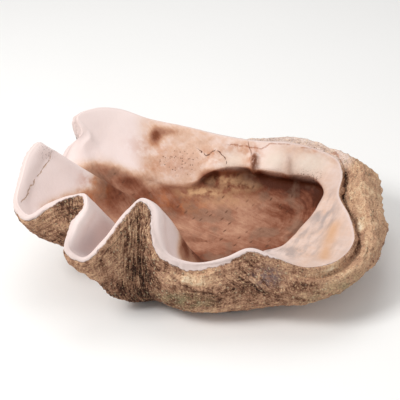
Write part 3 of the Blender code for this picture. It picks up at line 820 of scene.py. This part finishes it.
def hairline(tree, name, half_width, wander):
    """One on a stored line that wanders, zero away from it."""
    distance = add(tree, "Attribute", output="Fac", attribute_name=name)
    near = add(tree, "Attribute", output="Fac", attribute_name=name + "_near")
    moved = summed(tree, distance, (wander, 1.0))
    apart = add(tree, "Math", [moved], operation="ABSOLUTE")
    thin = add(tree, "MapRange", [apart, 0.3 * half_width, half_width, 1.0, 0.0], **EASED)
    return summed(tree, 0.0, (thin, near))


def blank_material(name):
    """A material with a bare Principled surface: the material, its tree and the surface node."""
    material = bpy.data.materials.new(name)
    material.use_nodes = True
    return material, material.node_tree, material.node_tree.nodes["Principled BSDF"]


def finish_shell(tree, surface, colour, roughness, height, depth):
    """Gives a shell's surface its colour, roughness and fine relief, and a faint sheen."""
    bump = add(tree, "Bump", {"Height": height, "Distance": depth, "Strength": 1.0})
    for socket, value in (("Base Color", colour), ("Roughness", roughness), ("Normal", bump)):
        tree.links.new(value, surface.inputs[socket])
    surface.inputs["IOR"].default_value = ARAGONITE_IOR
    surface.inputs["Specular IOR Level"].default_value = FAINT_SHEEN


# Inner aragonite layer, laid down smooth and later stained. Patterns: size, turn, squeeze, detail, roughness.
INNER_PATTERNS = {
    "broad": (0.060, STRAIGHT, EVEN, 3, 0.55),
    "middling": (0.018, STRAIGHT, EVEN, 4, 0.55),
    "small": (0.008, STRAIGHT, EVEN, 4, 0.55),
    "grain": (0.003, STRAIGHT, EVEN, 3, 0.55),
    "streaks": (0.055, (0, 0, -35), (1, 3.0, 1), 4, 0.55),
    "hatch": (0.050, (0, 0, -35), (1, 11, 1), 3, 0.55),
    "veins": (0.055, (0, 0, 66), (1, 3.4, 1), 5, 0.60),
}
# From clean porcelain white at the margin to the brown of the darkest corner, where staining and painted
# shadow are deepest.
INNER_COLOURS = (
    (0.00, "#F1DFDA"),
    (0.10, "#EBD5CB"),
    (0.26, "#DCB8A1"),
    (0.44, "#C09277"),
    (0.60, "#A6755D"),
    (0.78, "#834D36"),
    (0.90, "#693520"),
    (1.00, "#522510"),
)
# Colours over that: each one's field and pattern, the pattern's range and least share, and the strength.
INNER_LAYERS = (
    ("#C8AFA3", "shelf", "veins", 0.30, 0.56, 0.40, 0.55),
    ("#A2938E", "grey", "veins", 0.42, 0.66, 0.00, 0.80),
    # Greyish painted shade in the channels between the folds.
    ("#B5ABAE", "channel_shade", "broad", 0.20, 0.60, 0.70, 0.75),
    ("#DECCBD", "plate", "middling", 0.30, 0.50, 0.58, 0.95),
    ("#D0A078", "stripe", "broad", 0.25, 0.55, 0.50, 0.80),
    ("#BC7142", "rust", "middling", 0.34, 0.64, 0.00, 0.72),
    # Deep brown in the gap between the plate's lobes: the fissure's own colour with painted shade.
    ("#6B3D26", "gap", "small", 0.30, 0.55, 0.30, 1.00),
    ("#BF917B", "pitted", "small", 0.30, 0.56, 0.40, 0.60),
    ("#D0A47C", "pale", "middling", 0.30, 0.60, 0.00, 1.00),
    ("#8C6F5C", "bowl", "broad", 0.50, 0.64, 0.00, 0.50),
    ("#5E4030", "dirty", "grain", 0.56, 0.64, 0.00, 0.85),
)
# Hairline cracks and rusty lines: half their width, colour and strength.
INNER_LINES = (
    ("rust_a", RUST_HALF_WIDTH, RUST, 0.60),
    ("rust_b", RUST_HALF_WIDTH, RUST, 0.60),
    ("crack_a", 0.0011, "#6B4432", 1.00),
    ("crack_b", 0.0013, "#8A4A2C", 0.80),
    ("crack_c", 0.0010, "#B8916C", 0.80),
)


def stain_and_shade_depth(tree, field, seen):
    """How deep the brown staining and the painted shadow are, from zero at the clean margin to one in the
    darkest corner.
    """
    # Part of the spots under the hinge plate, the right shelf and the back wall's step is painted shadow.
    stain_and_shade = summed(tree, 0.0, (field["bowl"], 0.60), (field["wall"], 0.25), (field["stain_and_shadow_spots"], 0.42))
    # The bowl's far right is made darker by painted shade.
    stain_and_shade = summed(tree, stain_and_shade, (field["far_right"], 0.17), (field["shelf"], 0.19))
    patchy = summed(tree, -0.64, (seen["broad"], 0.42), (seen["middling"], 0.30), (seen["small"], 0.16))
    patchy = summed(tree, patchy, (seen["streaks"], 0.24), (seen["hatch"], 0.16))
    arcs = summed(tree, -0.55, (banded_along_lip(tree, field["lip_distance"], 0.18, 0.020), 1.1))
    patchy = summed(tree, patchy, (arcs, field["far_right"]))
    loose = add(tree, "MapRange", [stain_and_shade, 0.0, 0.35, 0.12, 1.0], **EASED)
    return summed(tree, stain_and_shade, (patchy, loose))


def borer_marks(tree, field):
    """Borer pits 2 mm across, crowded in one patch, and dashes 4 mm long, sparse on the floor."""
    pits = scattered_marks(tree, 0.0056, STRAIGHT, EVEN, 0.14, 0.32, 0.40, 0.44)
    crowded = add(tree, "MapRange", [field["pitted"], 0.10, 0.45], **EASED)
    dashes = scattered_marks(tree, 0.0125, (0, 0, 55), (0.45, 1.5, 1), 0.10, 0.32, 0.55, 0.75)
    on_floor = add(tree, "MapRange", [field["bowl"], 0.75, 0.95], **EASED)
    return summed(tree, 0.0, (pits, crowded), (dashes, on_floor))


def cracked(tree, colour, seen):
    """The colour with its cracks and rusty lines drawn over it, and how strong they are."""
    wander = summed(tree, -0.005, (seen["middling"], 0.010))
    broken = add(tree, "MapRange", [seen["small"], 0.36, 0.50], **EASED)
    cracks = 0.0
    for name, half_width, code, strength in INNER_LINES:
        line = hairline(tree, name, half_width, wander)
        colour = laid_over(tree, colour, code, line, broken, strength)
        cracks = summed(tree, cracks, (line, broken, strength))
    return colour, cracks


def inner_relief(tree, stain_and_shade, seen, marks, cracks):
    """Fine height of the inside: smooth where clean, grainy and lumpy where stained and under the painted
    shade, and cut by marks.
    """
    grain_share = add(tree, "MapRange", [stain_and_shade, 0.0, 0.5, 0.08, 0.35], **EASED)
    lump_share = add(tree, "MapRange", [stain_and_shade, 0.0, 0.5, 0.2, 0.9], **EASED)
    height = summed(tree, 0.0, (seen["grain"], grain_share), (seen["small"], lump_share))
    return summed(tree, height, (marks, -0.4), (cracks, -0.8))


def porcelain_inner_layer():
    """Porcelain-like aragonite: smooth and faintly glossy where clean, dull and brown where dirt sank in,
    with painted shade under the hinge plate, the shelf and the step, and in the channels.
    """
    material, tree, surface = blank_material("porcelain_inner_layer")
    names = ["lip_distance", "bowl", "wall", "shelf", "far_right", "stripe", *INSIDE_SPOTS]
    field, seen = skin_readings(tree, names, INNER_PATTERNS)
    # The depth of the brown staining, with the painted shadow added in.
    stain_and_shade = stain_and_shade_depth(tree, field, seen)
    colour = add(tree, "ValToRGB", [stain_and_shade], stops=INNER_COLOURS)
    colour = layered(tree, colour, INNER_LAYERS, field, seen)
    marks = borer_marks(tree, field)
    colour = laid_over(tree, colour, "#5F3A28", marks, 0.70)
    colour, cracks = cracked(tree, colour, seen)
    at_edge = add(tree, "MapRange", [field["lip_distance"], 0.008, 0.001], **EASED)
    colour = laid_over(tree, colour, BARE_SHELL, at_edge, 0.70)
    roughness = add(tree, "MapRange", [stain_and_shade, 0.0, 0.5, 0.38, 0.66], **EASED)
    height = inner_relief(tree, stain_and_shade, seen, marks, cracks)
    finish_shell(tree, surface, colour, roughness, height, INNER_RELIEF_DEPTH)
    return material


# Outer layer, grown in rough steps and long under water.
OUTER_PATTERNS = {
    "broad": (0.070, STRAIGHT, EVEN, 3, 0.55),
    "middling": (0.020, STRAIGHT, EVEN, 5, 0.65),
    "small": (0.009, STRAIGHT, EVEN, 4, 0.60),
    "grit": (0.0035, STRAIGHT, EVEN, 4, 0.60),
    "lines": (0.042, (0, 48, 0), (1, 4, 10), 2, 0.55),
}
# From the dirt in its crevices and the painted shade under the folds to the worn, sun-bleached ridges.
OUTER_COLOURS = (
    (0.00, "#331B13"),
    (0.16, "#5A392B"),
    (0.34, "#8F6750"),
    (0.50, "#B58B70"),
    (0.66, "#D0A685"),
    (0.84, "#E4C5A2"),
    (1.00, "#F2DFC4"),
)
OUTER_LAYERS = (
    ("#7E7D5C", "moss", "middling", 0.36, 0.60, 0.00, 0.75),
    ("#6A5A60", "violet", "small", 0.36, 0.60, 0.00, 0.75),
    ("#EAD7CD", "umbo_band", "small", 0.60, 0.30, 0.60, 1.00),
)


def fibres_down(tree, field, size):
    """Noise in fibres that run down from the lip and fan with the folds."""
    fall = summed(tree, 0.0, (field["lip_distance"], 0.14))
    where = add(tree, "CombineXYZ", [field["round_x"], field["round_y"], fall])
    return add(tree, "TexNoise", {"Vector": where, "Scale": 1 / size, "Detail": 3, "Roughness": 0.6})


def crevices(tree, field, seen):
    """The crevice beside the shelf with two on the front, and the trough around the first."""
    way = summed(tree, 0.012, (field["lip_distance"], 1.0), (seen["middling"], 0.016))
    way = add(tree, "Math", [way], operation="ABSOLUTE")
    beside = add(tree, "MapRange", [way, 0.002, 0.008, 1.0, 0.0], **EASED)
    groove = summed(tree, 0.0, (beside, field["side"]))
    wander = summed(tree, -0.007, (seen["middling"], 0.014))
    for name in FRONT_LINES:
        groove = summed(tree, groove, (hairline(tree, name, 0.0050, wander), 1.0))
    uneven = add(tree, "MapRange", [seen["small"], 0.34, 0.56, 0.35, 1.0], **EASED)
    far_side = add(tree, "MapRange", [field["lip_distance"], -0.040, -0.018], **EASED)
    near_side = add(tree, "MapRange", [field["lip_distance"], 0.001, -0.004], **EASED)
    return summed(tree, 0.0, (groove, uneven)), summed(tree, 0.0, (far_side, near_side, field["side"]))


def weathering(tree, field, seen, fibres, layer, groove):
    """How bleached the outside is, from zero in the dirt of the crevices to one on the worn ridges; lowered
    by painted shade under the folds.
    """
    wide_fibres = fibres_down(tree, field, 0.016)
    tone = summed(tree, -0.70, (seen["broad"], 0.50), (seen["middling"], 0.64), (seen["small"], 0.45))
    low_down = add(tree, "MapRange", [field["height"], 0.045, 0.0, 0.0, 0.16], **EASED)
    tone = summed(tree, tone, (seen["grit"], 0.52), (wide_fibres, 0.35), (low_down, -1.0))
    fibre_share = add(tree, "MapRange", [field["hollow"], 0.0, 1.0, 0.22, 1.0], **EASED)
    tone = summed(tree, tone, (summed(tree, -0.75, (fibres, 1.5)), fibre_share))
    contrast = add(tree, "MapRange", [field["sandy"], 0.0, 1.0, 1.18, 0.70], **EASED)
    tone = summed(tree, MIDDLE_TONE, (summed(tree, -MIDDLE_TONE, (tone, 1.0)), contrast))
    tone = summed(tree, tone, (field["sandy"], 0.15), (field["cream"], 0.30), (layer, -0.13))
    lines = summed(tree, -0.65, (seen["lines"], 1.3))
    # Painted shade in streaks on the undersides of the folds.
    patchy_shade = add(tree, "MapRange", [wide_fibres, 0.35, 0.62, 0.25, 1.0], **EASED)
    tone = summed(tree, tone, (lines, field["hatched"]), (patchy_shade, field["shade_under_folds"], -0.42))
    return summed(tree, tone, (groove, -0.26))


def speckled(tree, colour, seen):
    """Bright worn grains and dirty pores, 1 to 3 mm across, and pale barnacle feet, 2 to 6 mm across."""
    grains = add(tree, "MapRange", [seen["grit"], 0.57, 0.68], **EASED)
    pores = add(tree, "MapRange", [seen["grit"], 0.43, 0.33], **EASED)
    feet = scattered_marks(tree, 0.0080, STRAIGHT, EVEN, 0.08, 0.40, 0.66, 0.80)
    colour = laid_over(tree, colour, "#F2D5A6", grains, 0.60)
    colour = laid_over(tree, colour, "#472A1E", pores, 0.55)
    return laid_over(tree, colour, "#E9D3B0", feet, 0.60), feet


def bare_lip(tree, field, seen):
    """Where the lip is bare shell, with an edge that wears away unevenly."""
    ragged = summed(tree, field["lip_distance"], (field["bare_width"], 1.0), (seen["middling"], 0.012))
    ragged = summed(tree, ragged, (seen["small"], 0.008))
    return add(tree, "MapRange", [ragged, 0.0085, 0.0120], **EASED)


def outer_relief(tree, field, seen, fibres, layer, feet, groove, bare):
    """Fine height of the outside: grit, lumps, steps and fibres, all of them nearly gone on the bare lip."""
    height = summed(tree, 0.0, (seen["grit"], 0.5), (seen["small"], 0.7), (seen["middling"], 1.0))
    fibre_height = add(tree, "MapRange", [field["hollow"], 0.0, 1.0, 0.5, 1.3], **EASED)
    height = summed(tree, height, (layer, -0.25), (feet, 0.7), (groove, -0.7), (fibres, fibre_height))
    smoother = add(tree, "MapRange", [bare, 0.0, 1.0, 1.0, 0.15], **EASED)
    return summed(tree, 0.0, (height, smoother))


def weathered_outer_layer():
    """Chalky outer shell, grown in rough steps: matt and worn, with dirt and old growths in its hollows, and
    painted shade under its folds.
    """
    material, tree, surface = blank_material("weathered_outer_layer")
    names = ["lip_distance", "height", "round_x", "round_y", "bare_width", "hollow"]
    names += ["side", "umbo_band", "sandy", *OUTSIDE_SPOTS]
    field, seen = skin_readings(tree, names, OUTER_PATTERNS)
    fibres = fibres_down(tree, field, 0.0055)
    banded = banded_along_lip(tree, field["lip_distance"], 0.22, 0.0075)
    layer = add(tree, "MapRange", [banded, 0.42, 0.62], **EASED)
    groove, trough = crevices(tree, field, seen)
    tone = summed(tree, weathering(tree, field, seen, fibres, layer, groove), (trough, -0.24))
    colour = add(tree, "ValToRGB", [tone], stops=OUTER_COLOURS)
    colour = layered(tree, colour, OUTER_LAYERS, field, seen)
    colour, feet = speckled(tree, colour, seen)
    wander = summed(tree, -0.006, (seen["middling"], 0.012))
    for name in ("rust_a", "rust_b"):
        colour = laid_over(tree, colour, RUST, hairline(tree, name, RUST_HALF_WIDTH, wander), 0.60)
    bare = bare_lip(tree, field, seen)
    colour = laid_over(tree, colour, BARE_SHELL, bare, 1.0)
    roughness = add(tree, "MapRange", [bare, 0.0, 1.0, 0.88, 0.5], **EASED)
    height = outer_relief(tree, field, seen, fibres, layer, feet, groove, bare)
    finish_shell(tree, surface, colour, roughness, height, OUTER_RELIEF_DEPTH)
    return material


def white_card():
    """Matt white studio card for the floor, with clouds so faint that it looks plain."""
    material, tree, surface = blank_material("white_card")
    here = add(tree, "TexCoord", output="Object")
    clouds = add(tree, "TexNoise", {"Vector": here, "Scale": 1 / 0.9, "Detail": 2, "Roughness": 0.55})
    colour = add(tree, "ValToRGB", [clouds], stops=((0.0, "#F2F1EF"), (1.0, "#F7F6F4")))
    tree.links.new(colour, surface.inputs["Base Color"])
    surface.inputs["Roughness"].default_value = 0.9
    return material


def dressed_valve():
    """The valve's visible skin, which stands for its solid."""
    points = valve_grid()
    fields = skin_fields(points)
    mesh = skin_mesh("valve_skin", raised(points, fields), fields)
    mesh.materials.append(porcelain_inner_layer())
    mesh.materials.append(weathered_outer_layer())
    rows_of_faces = len(points) - 3
    outer = (np.arange(rows_of_faces * FINE_COLUMNS) // FINE_COLUMNS >= LIP_ROW - 1).astype(np.int32)
    outer = np.concatenate([outer, np.zeros(FINE_COLUMNS, np.int32), np.ones(FINE_COLUMNS, np.int32)])
    mesh.polygons.foreach_set("material_index", outer)
    valve = bpy.data.objects.new("valve_skin", mesh)
    bpy.context.scene.collection.objects.link(valve)
    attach(valve, "root")
    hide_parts("clam_valve")


# The studio: the floor's reach from the middle, the lamps' places, sizes and watts, and the photo's view.
FLOOR_REACH = 6.0
SKY_STRENGTH = 0.50
LAMPS = {
    "key": ((-1.7, -0.9, 2.2), 1.0, 52),
    "top": ((0.0, 1.0, 2.6), 1.6, 18),
    "fill": ((2.2, -1.4, 1.4), 1.6, 10),
}
LAMPS_AIM = (0, 0, 0.12)
CAMERA_AIM = (-0.0080, -0.0625, 0.190)
CAMERA_RISE = math.radians(33)
CAMERA_DISTANCE = 2.6
LENS_MM = 114.7
SENSOR_MM = 36


def floor():
    """A wide pale card under the valve."""
    mesh = bpy.data.meshes.new("floor")
    corners = [(x * FLOOR_REACH, y * FLOOR_REACH, 0) for x, y in ((-1, -1), (1, -1), (1, 1), (-1, 1))]
    mesh.from_pydata(corners, [], [(0, 1, 2, 3)])
    mesh.materials.append(white_card())
    card = bpy.data.objects.new("floor", mesh)
    bpy.context.scene.collection.objects.link(card)


def light():
    """Soft white light from all round, and large lamps from the left, above and the right."""
    world = bpy.data.worlds.new("soft_white")
    world.use_nodes = True
    background = world.node_tree.nodes["Background"]
    background.inputs["Color"].default_value = (1, 1, 1, 1)
    background.inputs["Strength"].default_value = SKY_STRENGTH
    bpy.context.scene.world = world
    bpy.context.scene.view_settings.view_transform = "Standard"
    for name, (place, size, power) in LAMPS.items():
        lamp = bpy.data.lights.new(name, "AREA")
        lamp.size = size
        lamp.energy = power
        holder = bpy.data.objects.new(name, lamp)
        holder.location = place
        aim = mathutils.Vector(LAMPS_AIM) - mathutils.Vector(place)
        holder.rotation_euler = aim.to_track_quat("-Z", "Y").to_euler()
        bpy.context.scene.collection.objects.link(holder)


def camera():
    """The photo's view: straight from the front and from above, through a long lens."""
    lens = bpy.data.cameras.new("camera")
    lens.sensor_width = SENSOR_MM
    lens.lens = LENS_MM
    holder = bpy.data.objects.new("camera", lens)
    back = mathutils.Vector((0, -math.cos(CAMERA_RISE), math.sin(CAMERA_RISE)))
    holder.location = mathutils.Vector(CAMERA_AIM) + CAMERA_DISTANCE * back
    holder.rotation_euler = (math.radians(90) - CAMERA_RISE, 0, 0)
    bpy.context.scene.collection.objects.link(holder)
    bpy.context.scene.camera = holder


dressed_valve()
floor()
light()
camera()
